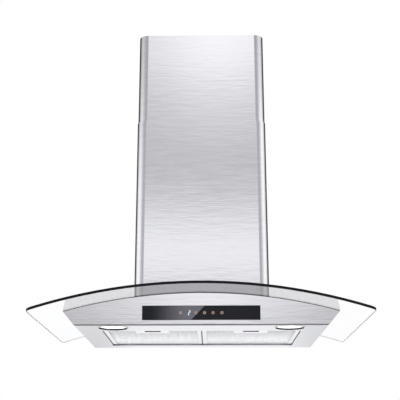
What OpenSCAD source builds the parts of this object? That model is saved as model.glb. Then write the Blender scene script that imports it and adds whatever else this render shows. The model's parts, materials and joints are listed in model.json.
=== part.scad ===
// Wall mount range hood with an arched glass canopy and a two-part chimney.
// Millimetres. X runs to the right seen from the front, Y towards the wall, Z up.
// The wall face is Y = 0, and the origin is the middle of the four wall bolts.

/* [Glass canopy] */
// Width of the glass between its ends
glass_w = 750; // [720:1:800]
// Depth of the glass from the wall to its front edge
glass_d = 500; // [490:1:520]
// Thickness of the glass
glass_t = 6; // [5:0.5:8]
// Rise of the arch from the ends of the glass to its middle
glass_rise = 59.2; // [50:1:75]
// Height of the top of the glass at its ends above the underside of the hood
glass_tip_h = 18.8; // [14:1:24]
// Radius of the front corners of the glass seen from above
glass_corner_r = 12; // [4:1:40]
// Thickness of the rubber strip under the glass
gasket_t = 1.5; // [1:0.1:3]
// Width of the rubber strip under the glass
gasket_w = 12; // [8:1:18]

/* [Body] */
// Width of the underside
body_w = 574; // [560:1:600]
// Width of the body where its sides meet the glass
body_top_w = 624; // [604:1:650]
// Depth of the underside from the wall
body_d = 389; // [382:1:400]
// Forward lean of the fascia between its lower edge and the top of the arch
fascia_lean = 9; // [0:1:20]
// Thickness of the steel sheet of the body
sheet_t = 1.2; // [0.8:0.1:1.5]
// Height of the edges that the underside panel turns up inside the body
panel_edge_h = 12; // [8:1:18]
// Height of the rims around the filter opening
rim_h = 18; // [16:1:22]

/* [Controls] */
// Width of the control glass
ctrl_w = 266; // [220:1:300]
// Height of the control glass
ctrl_h = 32; // [26:1:34]
// Height of the middle of the control glass up the fascia
ctrl_z = 26.7; // [24:0.1:30]
// Thickness of the control glass
ctrl_glass_t = 3; // [2:0.5:4]
// Depth of the plastic case behind the control glass
case_d = 16; // [12:1:22]
// Mean distance between the touch sensors
key_pitch = 18.7; // [16:0.1:24]

/* [Lamps] */
// Distance of each lamp from the middle of the hood
lamp_x = 203; // [190:1:215]
// Distance of the lamps from the front edge of the underside
lamp_front = 47; // [45:1:51]
// Radius of the bore of a lamp's bezel
lamp_r = 33; // [28:0.5:35]
// Depth at which the lamp's lens lies
lamp_recess = 3.4; // [2:0.2:5]
// Height of the lamp's heat sink
heat_sink_h = 15; // [10:1:18]

/* [Filters] */
// Width of the filter opening in the underside
opening_w = 468; // [440:1:480]
// Distance from the front edge of the underside to the filter opening
opening_margin = 93; // [91:1:99]
// Distance from the wall to the rear of the filter opening
opening_rear = 42; // [36:1:48]
// Height of the filters' lower faces above the underside
filter_recess = 3.5; // [2.5:0.5:5]
// Thickness of a filter
filter_h = 9; // [8:0.5:11]
// Width of the rails of a filter frame
rail_w = 10; // [8:1:14]
// Thickness of the aluminium of the filter frame
rail_t = 0.8; // [0.6:0.1:1.2]
// Gap between the two filters, and twice the gap at each side
filter_gap = 2.4; // [1.6:0.1:4]
// Gap behind the filters, crossed by their tabs
rear_gap = 4; // [3:0.5:6]
// Gap in front of the filters
front_gap = 1; // [0.8:0.1:2]
// Diamonds across the filter mesh
mesh_cols = 15; // [8:1:17]
// Diamonds along the filter mesh
mesh_rows = 17; // [8:1:17]
// Width of a latch housing
latch_w = 80; // [60:1:90]
// Depth of a latch housing from front to rear
latch_d = 48; // [46:1:54]
// Width of the finger slot in a latch housing
finger_w = 38; // [30:1:48]
// Travel of a latch
latch_travel = 6; // [4:0.5:7]

/* [Blower casing] */
// Width of the casing that holds the fan
box_w = 276; // [268:1:284]
// Depth of the casing from the wall
box_d = 246; // [236:1:250]
// Height of the casing above the middle of the deck
box_h = 261; // [255:1:280]
// Width of the foot that the casing turns out on the deck
foot_w = 7; // [5:0.5:8]
// Distance between the left and right wall bolts
bolt_dx = 294; // [290:1:298]
// Distance between the lower and upper wall bolts
bolt_dz = 250; // [230:1:255]
// Height of the lower wall bolts above the underside
bolt_low_h = 35; // [32:1:40]
// Radius of the wall bolt holes
bolt_hole_r = 4; // [3:0.5:4.5]

/* [Fan] */
// Distance of the fan's axis from the wall
fan_y = 100; // [95:1:110]
// Distance of the fan's axis below the top of the casing
fan_drop = 140; // [130:1:150]
// Width of the scroll inside its side plates
scroll_w = 150; // [140:1:160]
// Radius of the scroll at its tongue
scroll_r_low = 76; // [74:1:78]
// Radius of the scroll where the outlet starts
scroll_r_high = 112; // [108:1:118]
// Angle of the tongue above the line from the axis to the wall
tongue_a = 75; // [70:1:80]
// Outer radius of the fan wheel
wheel_r = 70; // [66:0.5:71]
// Inner radius of the ring of blades
blade_r = 57; // [56:0.5:59]
// Thickness of a fan blade
blade_t = 0.8; // [0.6:0.1:1.2]
// Number of fan blades
blade_n = 36; // [24:1:48]
// Radius of the throat of the inlets
throat_r = 55; // [50:1:58]
// Radius of the bell mouth of the inlets
bell_r = 7; // [5:0.5:8]
// Radius of the motor's housing
motor_r = 42; // [36:1:44]
// Radius of the motor shaft
shaft_r = 4; // [3:0.5:5]
// Outer radius of the motor bearings
bearing_r = 11; // [9:0.5:13]
// Width of a motor bearing
bearing_w = 7; // [5:1:9]

/* [Outlet] */
// Outer radius of the duct collar
collar_r = 74.5; // [60:0.5:74.5]
// Height of the duct collar above its plate
collar_h = 48; // [40:1:60]
// Height of the flap pins above the top of the casing
pin_h = 20; // [16:1:26]
// Radius of the flap pins
pin_r = 1.5; // [1:0.1:2]
// Distance between the two flap pins
pin_gap = 8; // [7:0.5:12]
// Width of the terminal box
power_w = 40; // [30:1:42]
// Length of the terminal box
power_l = 160; // [100:1:180]
// Height of the terminal box
power_h = 40; // [25:1:50]

/* [Chimney] */
// Room on each side between the casing and the outside of the chimney
chimney_side_gap = 26; // [25:1:32]
// Room between the front of the casing and the outside of the chimney
chimney_front_gap = 29; // [28:1:44]
// Radius of the lower chimney's front corners
chimney_r = 23.5; // [10:0.5:30]
// Thickness of the chimney's sheet
chimney_t = 0.8; // [0.6:0.1:1]
// Height of the top of the lower chimney above the underside
lower_top = 539; // [500:1:560]
// Height of the top of the upper chimney above the underside
hood_h = 782; // [760:1:800]
// Length of the upper chimney
upper_l = 400; // [390:1:420]
// Gap between the two chimney parts
slide_gap = 0.5; // [0.3:0.1:1]
// Number of air slots in each side of the upper chimney
slot_n = 5; // [3:1:6]
// Length of an air slot
slot_l = 90; // [60:1:120]

/* [Hidden] */

$fn = 48;
// Facets of the large arches
arch_fn = 720;
// How far a cutting body passes the face that it cuts
cut = 2;
// Gap between sheets that lie edge to edge
seam = 0.2;
// Radial clearance of a screw in its hole
screw_fit = 0.15;
// Radial running clearance of a shaft or a pin
run_fit = 0.06;
// Radial clearance of a bearing or a pin in its seat
seat_fit = 0.02;

// Arches of the glass, all about one axis that runs from front to rear
glass_R = (pow(glass_w / 2, 2) + pow(glass_rise, 2)) / (2 * glass_rise);
arch_z = glass_tip_h + glass_rise - glass_R;
under_R = glass_R - glass_t;
seat_R = under_R - gasket_t;
deck_h = arch_z + seat_R;

// Slopes of the body's sides and of the fascia
side_h = arch_z + sqrt(pow(seat_R, 2) - pow(body_top_w / 2, 2));
side_slope = (body_top_w - body_w) / 2 / side_h;
lean_slope = fascia_lean / deck_h;
lean_a = atan(lean_slope);
form_h = deck_h + gasket_t + cut;

// Chimney, lamps and filter opening, which keep their place to the casing and to the front edge
chimney_w = box_w + 2 * chimney_side_gap;
chimney_d = box_d + chimney_front_gap;
lamp_y = body_d - lamp_front;
opening_front = body_d - opening_margin;

// Small screws
screw_r = 2;
screw_head_r = 3.2;
screw_head_h = 2;
screw_past = 2;

// Notch in the glass and the screws between it and the chimney
notch_gap = 1;
notch_w = box_w + 2 * (foot_w + notch_gap);
notch_d = box_d + foot_w + notch_gap;
notch_r = 6;
glass_screw_r = 2.5;
glass_head_r = 4.5;
glass_head_h = 3;
glass_nut_h = 4;
washer_r = 6.3;
washer_t = 1.2;
sleeve_t = 1.6;
sleeve_gap = 0.2;
glass_screw_x = (notch_w / 2 + chimney_w / 2 - chimney_t) / 2;
glass_screw_front = (notch_d + chimney_d - chimney_t) / 2;
glass_screw_at = [for (s = [-1, 1]) each [
    [s * glass_screw_x, -box_d * 0.2],
    [s * glass_screw_x, -box_d * 0.8],
    [s * box_w * 0.3, -glass_screw_front]]];

// Controls on the leaning fascia
ctrl_fit = 0.3;
case_wall = 2;
case_lip = 7;
case_ear = 12;
case_face_t = 1.2;
stud_r = 2;
stud_l = 9;
stud_x = ctrl_w / 2 + case_lip + case_ear / 2;
stud_z = 8;
nut_h = 3.2;
nut_r = 4;
board_t = 1.6;
board_gap = 0.3;
board_margin = 1;
sensor_r = 5;
key_at = [-2.5, -1.45, -0.63, 0.4, 1.43, 2.5];
part_h = 5;

// Lamps
bezel_t = 1;
bezel_rim_w = 2.5;
bezel_rim_t = 0.8;
bezel_ledge_w = 1.2;
bezel_ledge_t = 0.8;
lens_t = 2;
lens_gap = 0.2;
sink_base_h = 4;
sink_fin_t = 2;
sink_fin_n = 8;
clip_w = 10;
clip_t = 0.8;
clip_reach = 9;

// Filters
filter_w = (opening_w - 2 * filter_gap) / 2;
filter_d = opening_front - opening_rear - front_gap - rear_gap;
filter_x = (filter_w + filter_gap) / 2;
filter_front = opening_front - front_gap;
filter_rear = opening_rear + rear_gap;
tab_w = 20;
tab_t = 1.2;
tab_reach = 3;
tab_x = filter_w * 0.32;
tab_gap = 0.3;
tab_swing = 2.8;
mesh_t = 0.6;
strand_w = 2;
layer_gap = 0.2;
pleat_n = 34;
pleat_t = 0.6;
latch_wall = 1.6;
latch_plate_t = 2;
latch_plate_w = 24;
latch_fit = 0.3;
latch_reach = 4;
latch_bar_d = 4;
latch_bar_w = 30;
bar_gap = 1.5;
finger_d = 16;
finger_edge = 15;
latch_front = filter_front - rail_w - layer_gap;
latch_low = filter_recess + 0.3;
latch_h = filter_h - 1.4;
bolt_z = latch_low + 4.4;
finger_front = latch_front - finger_edge;
slider_rear = finger_front - finger_d + 1;
latch_rear = latch_front - latch_d + latch_wall;
bolt_slot_w = latch_plate_w + 2 * latch_fit;
bolt_slot_h = latch_plate_t + 2 * latch_fit;
spring_wire_r = 0.25;
spring_r = 1.3;
spring_bore_r = 1.9;
spring_turns = 6;
spring_rings = 8;
spring_sides = 6;

// Blower casing
box_top = deck_h + box_h;
mount_h = bolt_low_h + bolt_dz / 2;
deck_lip = 8;
deck_hole_w = box_w - 2 * deck_lip;
deck_hole_front = box_d - deck_lip;
deck_hole_rear = deck_lip;
ear_margin = 8;
ear_drop = 30;
ear_w = bolt_dx + 2 * ear_margin;
ear_low = bolt_low_h + bolt_dz - ear_drop;
foot_screw_x = box_w / 2 + foot_w / 2;
foot_screw_at = [for (s = [-1, 1], f = [0.35, 0.65]) [s * foot_screw_x, -box_d * f]];

// Scroll: a spiral that grows from the tongue round to the outlet
scroll_t = 1.2;
scroll_steps = 34;
side_x = scroll_w / 2 + scroll_t;
fan_z = box_top - fan_drop;
tongue_x = scroll_r_low * cos(tongue_a);
neck_h = fan_drop - sheet_t;
outlet_d = scroll_r_high + tongue_x;
outlet_y = fan_y + (scroll_r_high - tongue_x) / 2;

// Inlets, fan wheel and motor, measured along the fan's axis from its middle
ring_t = 1;
ring_flange_w = 18;
bell_c = throat_r + bell_r;
fan_screw_out = 10;
fan_screw_r = bell_c + fan_screw_out;
fan_screw_at = [90, 210, 330];
wheel_gap = 7;
wheel_half = scroll_w / 2 - wheel_gap;
wheel_ring_t = 2;
wheel_ring_w = 12;
disc_t = 1.6;
blade_lean = 14;
blade_steps = 4;
hub_r = 12;
hub_half = 9;
hub_flange_r = 20;
hub_flange_t = 2.2;
motor_wall = 1.4;
motor_x0 = hub_half + 2;
motor_x1 = side_x + ring_t;
end_cap_t = 2;
boss_t = 3;
stator_l = 28;
stator_x0 = (motor_x0 + motor_x1 - stator_l) / 2;
stator_r = motor_r - motor_wall - 0.1;
rotor_r = 22;
air_gap = 0.6;
stator_slots = 8;
winding_r = 5.5;
bracket_t = 2;
arm_w = 14;
motor_screw_r = 30;

// Outlet
collar_t = 1.2;
plate_margin = 13;
plate_w = scroll_w + 2 * plate_margin;
plate_d = outlet_d + 2 * plate_margin;
collar_screw_x = (scroll_w + plate_margin) / 2;
collar_screw_y = (outlet_d + plate_margin) / 2;
collar_in = collar_r - collar_t;
pin_z = box_top + pin_h;
flap_t = 0.8;
flap_gap = 0.8;
flap_sleeve_t = 1.2;
flap_sleeve_w = 120;
ledge_w = 2.5;
ledge_t = 1.2;
ledge_drop = 0.3;
power_x = plate_w / 2 + 4;
power_y = 55;
power_wall = 2;
power_top = box_top + power_h;
gland_r = 8;
gland_bore_r = 4;
gland_in = 22;
gland_y = power_y + gland_in;
cap_r = 15;
cap_l = 56;
cap_y = power_y + power_l - 8;

// Chimney
slide_step = chimney_t + slide_gap;
upper_w = chimney_w - 2 * slide_step;
upper_r = chimney_r + 0.7;
chimney_lip = 6;
bottom_gap = 0.3;
vent_h = 6;
vent_pitch = 14;
vent_drop = 60;
vent_y = 140;
bracket_strip_t = 1.5;
bracket_h = 24;
bracket_drop = 2;
bracket_base_w = 280;
bracket_arm = 26;
bracket_tab = 20;
bracket_bolt_dx = 120;
bracket_bolt_r = 3;
side_bracket_z = 100;
side_bracket_h = 25;
side_bracket_y = 115;
side_bracket_w = 30;
side_gap = 0.2;

function body_half(z) = body_w / 2 + side_slope * z;
function body_front(z) = body_d + lean_slope * z;
function scroll_radius(a) =
    scroll_r_low + (scroll_r_high - scroll_r_low) * (a + tongue_a) / (180 + tongue_a);
function scroll_point(a, extra) = (scroll_radius(a) + extra) * [cos(a), -sin(a)];
function blade_point(f, s) =
    let (r = blade_r + (wheel_r - blade_r) * f)
    let (a = -blade_lean * f * f + s * asin(blade_t / 2 / r))
    r * [cos(a), sin(a)];

// Everything is drawn above the underside and lowered so that the wall bolts are about the origin
module hood() {
    translate([0, 0, -mount_h]) children();
}

// Frame of the fascia: X along it, Y into the body, Z up its leaning face
module on_fascia() {
    translate([0, -body_d, 0]) rotate([lean_a, 0, 0]) children();
}

// Frame on an arch of radius r, with Z square to it and along one line for all radii
module on_arch(p, r) {
    translate([0, p[1], arch_z]) rotate([0, asin(p[0] / seat_R), 0]) translate([0, 0, r]) children();
}

// Frame of the fan: X towards the wall, Y up and Z along the axis to the right
module in_fan() {
    translate([0, -fan_y, fan_z]) rotate([90, 0, 90]) children();
}

module in_filter(s) {
    translate([s * filter_x, 0, 0]) children();
}

module arch_drum(r) {
    translate([0, cut, arch_z]) rotate([90, 0, 0]) cylinder(r = r, h = glass_d + 2 * cut, $fn = arch_fn);
}

// Sheet that follows the arch between two radii
module arch_sheet(r_low, r_high) {
    translate([0, 0, arch_z]) rotate([90, 0, 0]) linear_extrude(glass_d) difference() {
        circle(r_high, $fn = arch_fn);
        circle(r_low, $fn = arch_fn);
    }
}

// Upright prism that passes through the arch
module upright() {
    translate([0, 0, -cut]) linear_extrude(deck_h + 20) children();
}

// Plan outline against the wall with rounded front corners
module wall_outline(w, d, r) {
    translate([-w / 2, -(d - r)]) square([w, d - r]);
    translate([-w / 2 + r, -d]) square([w - 2 * r, d]);
    for (s = [-1, 1]) translate([s * (w / 2 - r), -(d - r)]) circle(r);
}

// Notch that is open at the wall
module notch_outline() {
    translate([0, cut]) wall_outline(notch_w, notch_d + cut, notch_r);
}

// Form of the body, drawn in by inset at its sides and front and by back at the wall
module body_form(inset, back, low, r) {
    intersection() {
        rotate([90, 0, 0]) linear_extrude(glass_d) intersection() {
            polygon([
                [inset - body_half(low), low],
                [body_half(low) - inset, low],
                [body_half(form_h) - inset, form_h],
                [inset - body_half(form_h), form_h]]);
            translate([0, arch_z]) circle(r, $fn = arch_fn);
        }
        rotate([90, 0, 90]) translate([0, 0, -body_top_w]) linear_extrude(2 * body_top_w) polygon([
            [-back, low],
            [inset - body_front(low), low],
            [inset - body_front(form_h), form_h],
            [-back, form_h]]);
    }
}

// Pan head screw with its head above the origin and its shank below
module pan_screw(shank_r, head_r, head_h, length) {
    translate([0, 0, -length]) cylinder(r = shank_r, h = length);
    rotate_extrude() intersection() {
        square([head_r, head_h]);
        translate([0, head_h - head_r * 1.2]) circle(head_r * 1.2);
    }
}

module small_screw(length) {
    pan_screw(screw_r, screw_head_r, screw_head_h, length);
}

module screw_hole(length) {
    translate([0, 0, -length]) cylinder(r = screw_r + screw_fit, h = length + cut);
}

// Body

module case_studs() {
    for (s = [-1, 1], t = [-1, 1]) translate([s * stud_x, sheet_t / 2, ctrl_z + t * stud_z])
        rotate([-90, 0, 0]) cylinder(r = stud_r, h = stud_l);
}

module wall_bolt_holes(z) {
    for (s = [-1, 1]) translate([s * bolt_dx / 2, cut, z])
        rotate([90, 0, 0]) cylinder(r = bolt_hole_r, h = sheet_t + 2 * cut);
}

module body_shell() hood() color("silver") {
    difference() {
        body_form(0, 0, 0, seat_R);
        body_form(sheet_t, sheet_t, -cut, glass_R);
        on_fascia() translate([-ctrl_w / 2 - ctrl_fit, -cut, ctrl_z - ctrl_h / 2 - ctrl_fit])
            cube([ctrl_w + 2 * ctrl_fit, sheet_t + 2 * cut, ctrl_h + 2 * ctrl_fit]);
        wall_bolt_holes(bolt_low_h);
    }
    on_fascia() case_studs();
}

module foot_screw_holes(r) {
    for (p = foot_screw_at) on_arch(p, r) screw_hole(2 * sheet_t + cut);
}

module glass_screw_holes(r, hole_r, depth) {
    for (p = glass_screw_at) on_arch(p, r) translate([0, 0, -depth]) cylinder(r = hole_r, h = depth + cut);
}

// Deck open to the rear, with a strip of its own behind the casing
module deck_plate() hood() color("silver") difference() {
    intersection() {
        arch_sheet(seat_R - sheet_t, seat_R);
        body_form(sheet_t + seam, sheet_t + seam, 0, glass_R);
    }
    translate([-deck_hole_w / 2, -deck_hole_front, 0])
        cube([deck_hole_w, deck_hole_front - deck_hole_rear, box_top]);
    for (s = [0, 1]) mirror([s, 0, 0]) translate([deck_hole_w / 2 - seam, -deck_hole_rear - cut, 0])
        cube([seam, deck_hole_rear + 2 * cut, box_top]);
    foot_screw_holes(seat_R + sheet_t);
    glass_screw_holes(seat_R, glass_screw_r + screw_fit, sheet_t + cut);
}

// Slots in the rims of the filter opening for the latch bolts and the rear tabs
module rim_slots() {
    for (s = [-1, 1]) in_filter(s) {
        translate([-bolt_slot_w / 2, -opening_front - sheet_t - cut, bolt_z - latch_fit])
            cube([bolt_slot_w, sheet_t + 2 * cut, bolt_slot_h]);
        for (t = [-1, 1])
            translate([t * tab_x - tab_w / 2 - tab_gap, -opening_rear - cut, filter_recess - tab_gap])
                cube([tab_w + 2 * tab_gap, sheet_t + 2 * cut, tab_t + tab_swing + tab_gap]);
    }
}

module underside_panel() hood() color("silver") {
    edge = sheet_t + seam;
    difference() {
        union() {
            intersection() {
                body_form(edge, edge, 0, glass_R);
                translate([-body_w, -body_d, 0]) cube([2 * body_w, body_d, sheet_t]);
            }
            difference() {
                intersection() {
                    body_form(edge, edge, 0, glass_R);
                    translate([-body_w, -2 * body_d, 0]) cube([2 * body_w, 2 * body_d, panel_edge_h]);
                }
                body_form(edge + sheet_t, edge + sheet_t, -cut, glass_R);
                translate([-stud_x - case_ear, -2 * body_d, sheet_t])
                    cube([2 * (stud_x + case_ear), 1.5 * body_d, panel_edge_h]);
            }
            translate([-opening_w / 2 - sheet_t, -opening_front - sheet_t, 0])
                cube([opening_w + 2 * sheet_t, opening_front - opening_rear + 2 * sheet_t, rim_h]);
        }
        translate([-opening_w / 2, -opening_front, -cut])
            cube([opening_w, opening_front - opening_rear, rim_h + 2 * cut]);
        for (s = [-1, 1]) translate([s * lamp_x, -lamp_y, -cut])
            cylinder(r = lamp_r + bezel_t + screw_fit, h = sheet_t + 2 * cut);
        rim_slots();
    }
}

// Glass canopy

module glass_canopy() hood() color([0.85, 0.92, 0.92, 0.35]) difference() {
    intersection() {
        arch_sheet(under_R, glass_R);
        upright() difference() {
            wall_outline(glass_w, glass_d, glass_corner_r);
            notch_outline();
        }
    }
    glass_screw_holes(glass_R, glass_screw_r + sleeve_t + sleeve_gap, glass_t + cut);
}

module glass_gasket() hood() color("dimgray") difference() {
    intersection() {
        arch_sheet(seat_R, under_R);
        union() {
            difference() {
                body_form(sheet_t, sheet_t, 0, glass_R);
                body_form(gasket_w, gasket_w, -cut, glass_R);
            }
            upright() wall_outline(chimney_w - 2 * chimney_t, chimney_d - chimney_t, notch_r);
        }
    }
    upright() notch_outline();
    glass_screw_holes(under_R, glass_screw_r + screw_fit, gasket_t + cut);
}

module glass_washers() hood() color("black") {
    for (p = glass_screw_at) on_arch(p, glass_R) difference() {
        union() {
            cylinder(r = washer_r, h = washer_t);
            translate([0, 0, -glass_t]) cylinder(r = glass_screw_r + sleeve_t, h = glass_t);
        }
        translate([0, 0, -glass_t - cut])
            cylinder(r = glass_screw_r + screw_fit, h = glass_t + washer_t + 2 * cut);
    }
}

module glass_screws() hood() color("lightgray") {
    for (p = glass_screw_at) on_arch(p, glass_R) translate([0, 0, washer_t]) {
        pan_screw(glass_screw_r, glass_head_r, glass_head_h,
            washer_t + glass_t + gasket_t + sheet_t + glass_nut_h + 1);
        translate([0, 0, -washer_t - glass_t - gasket_t - sheet_t - glass_nut_h])
            cylinder(r = glass_head_r, h = glass_nut_h, $fn = 6);
    }
}

// Controls

module control_glass() hood() color([0.05, 0.05, 0.06]) on_fascia()
    translate([-ctrl_w / 2, 0, ctrl_z - ctrl_h / 2]) cube([ctrl_w, ctrl_glass_t, ctrl_h]);

module case_window(w, h, y0, y1) {
    translate([-w / 2, y0, ctrl_z - h / 2]) cube([w, y1 - y0, h]);
}

module control_case() hood() color("dimgray") on_fascia() {
    face_y = ctrl_glass_t + case_face_t;
    lip_w = ctrl_w + 2 * case_lip;
    lip_h = ctrl_h + 2 * case_lip;
    difference() {
        union() {
            case_window(lip_w + 2 * case_ear, lip_h, sheet_t, face_y);
            case_window(ctrl_w + 2 * case_wall, ctrl_h + 2 * case_wall, sheet_t, sheet_t + case_d);
        }
        case_window(ctrl_w + 2 * ctrl_fit, ctrl_h + 2 * ctrl_fit, 0, ctrl_glass_t);
        case_window(ctrl_w - 2 * case_lip, ctrl_h - 2 * case_wall, 0, face_y + cut);
        case_window(ctrl_w, ctrl_h, face_y, sheet_t + case_d - case_wall);
        for (s = [-1, 1], t = [-1, 1]) translate([s * stud_x, 0, ctrl_z + t * stud_z])
            rotate([-90, 0, 0]) cylinder(r = stud_r + screw_fit, h = face_y + cut);
    }
}

module touch_board() hood() color("darkgreen") on_fascia() {
    front = ctrl_glass_t + case_face_t + board_gap;
    case_window(ctrl_w - 2 * board_margin, ctrl_h - 2 * board_margin, front, front + board_t);
    for (k = key_at)
        translate([k * key_pitch, ctrl_glass_t + board_gap, ctrl_z])
            rotate([-90, 0, 0]) cylinder(r = sensor_r, h = case_face_t + board_t);
    for (s = [-1, 1]) translate([s * ctrl_w / 4 - sensor_r, front + board_t, ctrl_z - sensor_r])
        cube([2 * sensor_r, part_h, 2 * sensor_r]);
}

module control_nuts() hood() color("lightgray") on_fascia() {
    for (s = [-1, 1], t = [-1, 1])
        translate([s * stud_x, ctrl_glass_t + case_face_t, ctrl_z + t * stud_z]) rotate([-90, 0, 0])
            difference() {
                cylinder(r = nut_r, h = nut_h, $fn = 6);
                translate([0, 0, -cut]) cylinder(r = stud_r + seat_fit, h = nut_h + 2 * cut);
            }
}

// Lamps

module at_lamp(s) {
    translate([s * lamp_x, -lamp_y, 0]) children();
}

module lamp_bezel(s) hood() color("lightgray") at_lamp(s) {
    tube_h = lamp_recess + lens_t + sink_base_h + bezel_rim_t;
    rotate_extrude() {
        translate([lamp_r, -bezel_rim_t]) square([bezel_t, tube_h]);
        translate([lamp_r, -bezel_rim_t]) square([bezel_t + bezel_rim_w, bezel_rim_t]);
        translate([lamp_r - bezel_ledge_w, lamp_recess - bezel_ledge_t])
            square([bezel_ledge_w + bezel_t, bezel_ledge_t]);
    }
}

module lamp_lens(s) hood() color("white") at_lamp(s)
    translate([0, 0, lamp_recess]) cylinder(r = lamp_r - lens_gap, h = lens_t);

module lamp_module(s) hood() color("gray") at_lamp(s) translate([0, 0, lamp_recess + lens_t]) {
    sink_r = lamp_r - lens_gap;
    fin_pitch = (2 * sink_r - sink_fin_t) / sink_fin_n;
    cylinder(r = sink_r, h = sink_base_h);
    intersection() {
        cylinder(r = sink_r, h = heat_sink_h);
        for (i = [1 : sink_fin_n - 1])
            translate([(i - sink_fin_n / 2) * fin_pitch - sink_fin_t / 2, -sink_r, 0])
                cube([sink_fin_t, 2 * sink_r, heat_sink_h]);
    }
}

// Bent spring strips that press the bezel's rim against the panel
module lamp_clips() hood() color("lightgray") {
    top = lamp_recess + lens_t + sink_base_h;
    inner = lamp_r + bezel_t;
    for (s = [-1, 1], t = [-1, 1]) at_lamp(s) rotate([0, 0, 90 + 90 * t]) translate([0, clip_w / 2, 0])
        rotate([90, 0, 0]) linear_extrude(clip_w) polygon([
            [inner + 0.6, top - clip_t],
            [inner + 0.6, top],
            [inner + clip_t + 0.6, top],
            [inner + clip_reach, sheet_t + clip_t],
            [inner + clip_reach + clip_t, sheet_t + clip_t],
            [inner + clip_reach + clip_t, sheet_t],
            [inner + clip_reach - clip_t, sheet_t],
            [inner + 0.6, top - 2 * clip_t]]);
}

// Blower casing

module collar_screw_spots(z) {
    for (s = [-1, 1], t = [-1, 1])
        translate([s * collar_screw_x, -outlet_y + t * collar_screw_y, z]) children();
}

module blower_box() hood() color("gainsboro") difference() {
    union() {
        translate([-box_w / 2, -box_d, 0]) cube([box_w, box_d, box_top]);
        intersection() {
            arch_sheet(seat_R, seat_R + sheet_t);
            upright() wall_outline(box_w + 2 * foot_w, box_d + foot_w, notch_r - notch_gap);
        }
        translate([-ear_w / 2, -sheet_t, ear_low]) cube([ear_w, sheet_t, box_top - ear_low]);
    }
    translate([-box_w / 2 + sheet_t, -box_d + sheet_t, -cut])
        cube([box_w - 2 * sheet_t, box_d - 2 * sheet_t, box_top - sheet_t + cut]);
    arch_drum(seat_R);
    translate([-scroll_w / 2, -outlet_y - outlet_d / 2, box_top - sheet_t - cut])
        cube([scroll_w, outlet_d, sheet_t + 2 * cut]);
    collar_screw_spots(box_top) screw_hole(sheet_t + cut);
    foot_screw_holes(seat_R + sheet_t);
    wall_bolt_holes(bolt_low_h + bolt_dz);
}

module casing_screws() hood() color("lightgray") {
    for (p = foot_screw_at) on_arch(p, seat_R + sheet_t) small_screw(2 * sheet_t + 3);
    collar_screw_spots(box_top + collar_t) small_screw(collar_t + sheet_t + scroll_t + 3);
}

// Fan

module scroll_outline(extra, top) {
    polygon(concat(
        [for (i = [0 : scroll_steps]) scroll_point(-tongue_a + i * (180 + tongue_a) / scroll_steps, extra)],
        [[-scroll_r_high - extra, top], [tongue_x + extra, top]]));
}

module scroll_housing() hood() color("gray") difference() {
    union() {
        in_fan() translate([0, 0, -side_x]) linear_extrude(2 * side_x) scroll_outline(scroll_t, neck_h);
        translate([-plate_w / 2, -outlet_y - plate_d / 2, box_top - sheet_t - scroll_t])
            cube([plate_w, plate_d, scroll_t]);
    }
    in_fan() {
        translate([0, 0, -scroll_w / 2]) linear_extrude(scroll_w) scroll_outline(0, neck_h + cut);
        translate([0, 0, -side_x - cut]) cylinder(r = bell_c + seam, h = 2 * (side_x + cut));
        for (s = [0, 1], a = fan_screw_at) mirror([0, 0, s]) rotate(a)
            translate([fan_screw_r, 0, side_x]) screw_hole(scroll_t + cut);
    }
    collar_screw_spots(box_top - sheet_t) screw_hole(scroll_t + cut);
}

module inlet_ring(s) hood() color("lightgray") in_fan() mirror([0, 0, s < 0 ? 1 : 0]) difference() {
    rotate_extrude() difference() {
        union() {
            intersection() {
                translate([bell_c, side_x + ring_t - bell_r]) circle(bell_r);
                translate([throat_r, side_x + ring_t - bell_r]) square(bell_r);
            }
            translate([bell_c, side_x]) square([ring_flange_w, ring_t]);
        }
        translate([bell_c, side_x + ring_t - bell_r]) circle(bell_r - ring_t);
    }
    for (a = fan_screw_at) rotate(a) translate([fan_screw_r, 0, side_x + ring_t]) screw_hole(ring_t + cut);
}

module motor_bracket() hood() color("lightgray") in_fan() translate([0, 0, motor_x1]) difference() {
    linear_extrude(bracket_t) difference() {
        union() {
            circle(motor_r - bracket_t);
            for (a = fan_screw_at) rotate(a) translate([0, -arm_w / 2]) square([fan_screw_r, arm_w]);
            for (a = fan_screw_at) rotate(a) translate([fan_screw_r, 0]) circle(arm_w / 2);
        }
        circle(hub_flange_r);
    }
    for (a = fan_screw_at, r = [motor_screw_r, fan_screw_r]) rotate(a)
        translate([r, 0, bracket_t]) screw_hole(bracket_t + cut);
}

module fan_screws() hood() color("silver") in_fan() {
    stack = bracket_t + ring_t + scroll_t;
    for (a = fan_screw_at) rotate(a) {
        translate([fan_screw_r, 0, motor_x1 + bracket_t]) small_screw(stack + screw_past);
        translate([motor_screw_r, 0, motor_x1 + bracket_t]) small_screw(bracket_t + end_cap_t + screw_past / 2);
        mirror([0, 0, 1]) translate([fan_screw_r, 0, side_x + ring_t]) small_screw(ring_t + scroll_t + screw_past);
    }
}

module motor_tube(r_in, r_out, x0, x1) {
    translate([0, 0, x0]) linear_extrude(x1 - x0) difference() {
        circle(r_out);
        circle(r_in);
    }
}

module motor_housing() hood() color("gray") in_fan() {
    inner_x = motor_x0 + end_cap_t;
    motor_tube(motor_r - motor_wall, motor_r, motor_x0, motor_x1 - end_cap_t);
    motor_tube(shaft_r + 2, motor_r, motor_x0, inner_x);
    motor_tube(bearing_r + seat_fit, bearing_r + boss_t, motor_x0, inner_x + bearing_w);
}

module motor_end_cap() hood() color("gray") in_fan() difference() {
    union() {
        translate([0, 0, motor_x1 - end_cap_t]) cylinder(r = motor_r, h = end_cap_t);
        motor_tube(bearing_r + seat_fit, bearing_r + boss_t, motor_x1 - end_cap_t - bearing_w, motor_x1);
    }
    for (a = fan_screw_at) rotate(a) translate([motor_screw_r, 0, motor_x1]) screw_hole(end_cap_t + cut);
}

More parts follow.
